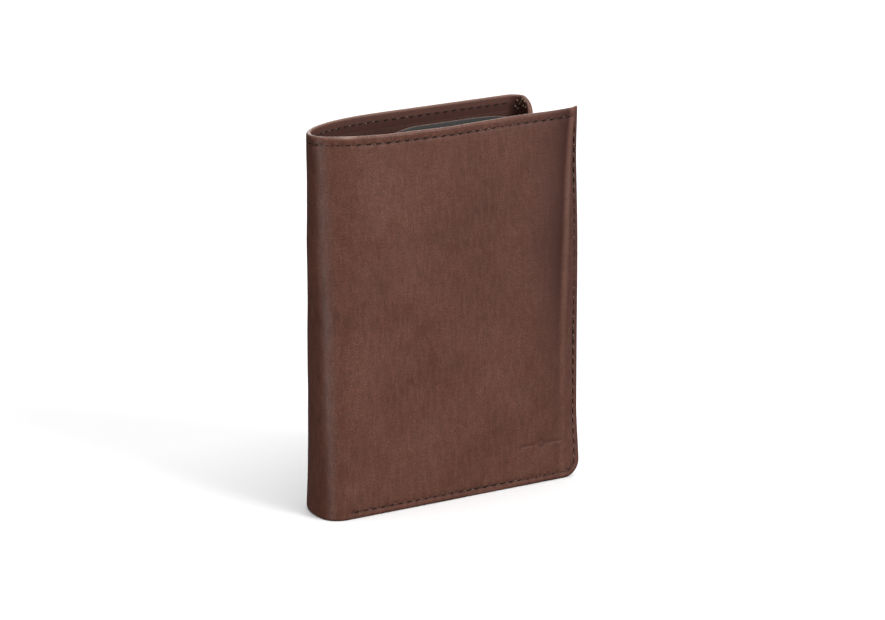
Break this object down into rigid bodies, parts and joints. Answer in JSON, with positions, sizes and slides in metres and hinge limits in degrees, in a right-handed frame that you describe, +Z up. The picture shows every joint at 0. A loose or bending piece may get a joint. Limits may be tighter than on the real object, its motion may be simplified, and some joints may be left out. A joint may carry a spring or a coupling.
{
  "type": "trifold wallet",
  "caption": "Upright trifold leather wallet: front and back covers on a wide spine, an inner flap with a clear window, card slots, document pockets and a full-height note compartment.",
  "frame": {"origin": "centre of the bottom edge, on the surface the wallet stands on, midway between spine and fore edge and between the front and back faces", "axes": "+Z up along the wallet's height, +X from the spine to the fore edge, +Y from the front cover to the back cover"},
  "size_m": [0.0974, 0.032, 0.125],
  "materials": {
    "outer_leather": "smooth semi-gloss dark brown cowhide",
    "inner_leather": "matt dark brown leather",
    "lining": "dark grey woven lining",
    "thread": "waxed dark brown thread",
    "window": "clear flexible film"
  },
  "bodies": {
    "back": {"outer_back": "outer_leather", "lining_back": "lining", "facing_back": "inner_leather", "note_wall_back": "inner_leather", "wall_lining_back": "lining", "pocket_1": "inner_leather", "pocket_2": "inner_leather", "pocket_3": "inner_leather", "stitches_back_top": "thread", "stitches_back_bottom": "thread", "stitches_pockets": "thread"},
    "spine_bend": {"outer_bend": "outer_leather", "lining_bend": "lining", "facing_bend": "inner_leather", "note_wall_bend": "inner_leather", "stitches_bend_top": "thread"},
    "spine": {"outer_spine": "outer_leather", "lining_spine": "lining", "facing_spine": "inner_leather", "note_wall_spine": "inner_leather", "stitches_spine_top": "thread"},
    "front_cover": {"outer_front": "outer_leather", "lining_front": "lining", "facing_front": "inner_leather", "note_wall_front": "inner_leather", "card_slot_1": "inner_leather", "card_slot_2": "inner_leather", "card_slot_3": "inner_leather", "card_slot_4": "inner_leather", "stitches_front_top": "thread", "stitches_front_side": "thread", "stitches_front_bottom": "thread", "stitches_card_slots": "thread"},
    "fold": {"outer_fold": "outer_leather", "lining_fold": "lining"},
    "flap": {"outer_flap": "outer_leather", "lining_flap": "lining", "window_frame": "inner_leather", "clear_window": "window", "stitches_flap": "thread"}
  },
  "joints": [
    {"name": "back_fold", "type": "hinge", "parent": "back", "child": "spine_bend", "pos_m": [-0.03782, 0.01507, 0.0625], "axis": [0, 0, -1], "range_deg": [0, 45]},
    {"name": "spine_fold", "type": "hinge", "parent": "spine_bend", "child": "spine", "pos_m": [-0.04782, 0.00507, 0.0625], "axis": [0, 0, -1], "range_deg": [0, 45]},
    {"name": "cover_fold", "type": "hinge", "parent": "spine", "child": "front_cover", "pos_m": [-0.04682, -0.01407, 0.0625], "axis": [0, 0, -1], "range_deg": [0, 90]},
    {"name": "edge_fold", "type": "hinge", "parent": "back", "child": "fold", "pos_m": [0.04413, 0.01493, 0.0625], "axis": [0, 0, 1], "range_deg": [0, 90]},
    {"name": "flap_fold", "type": "hinge", "parent": "fold", "child": "flap", "pos_m": [0.04413, 0.00467, 0.0625], "axis": [0, 0, 1], "range_deg": [0, 90]}
  ],
  "couplings": [
    {"joint": "spine_fold", "follows": "back_fold", "ratio": 1},
    {"joint": "cover_fold", "follows": "back_fold", "ratio": 2},
    {"joint": "edge_fold", "follows": "back_fold", "ratio": 2},
    {"joint": "flap_fold", "follows": "back_fold", "ratio": 2}
  ]
}
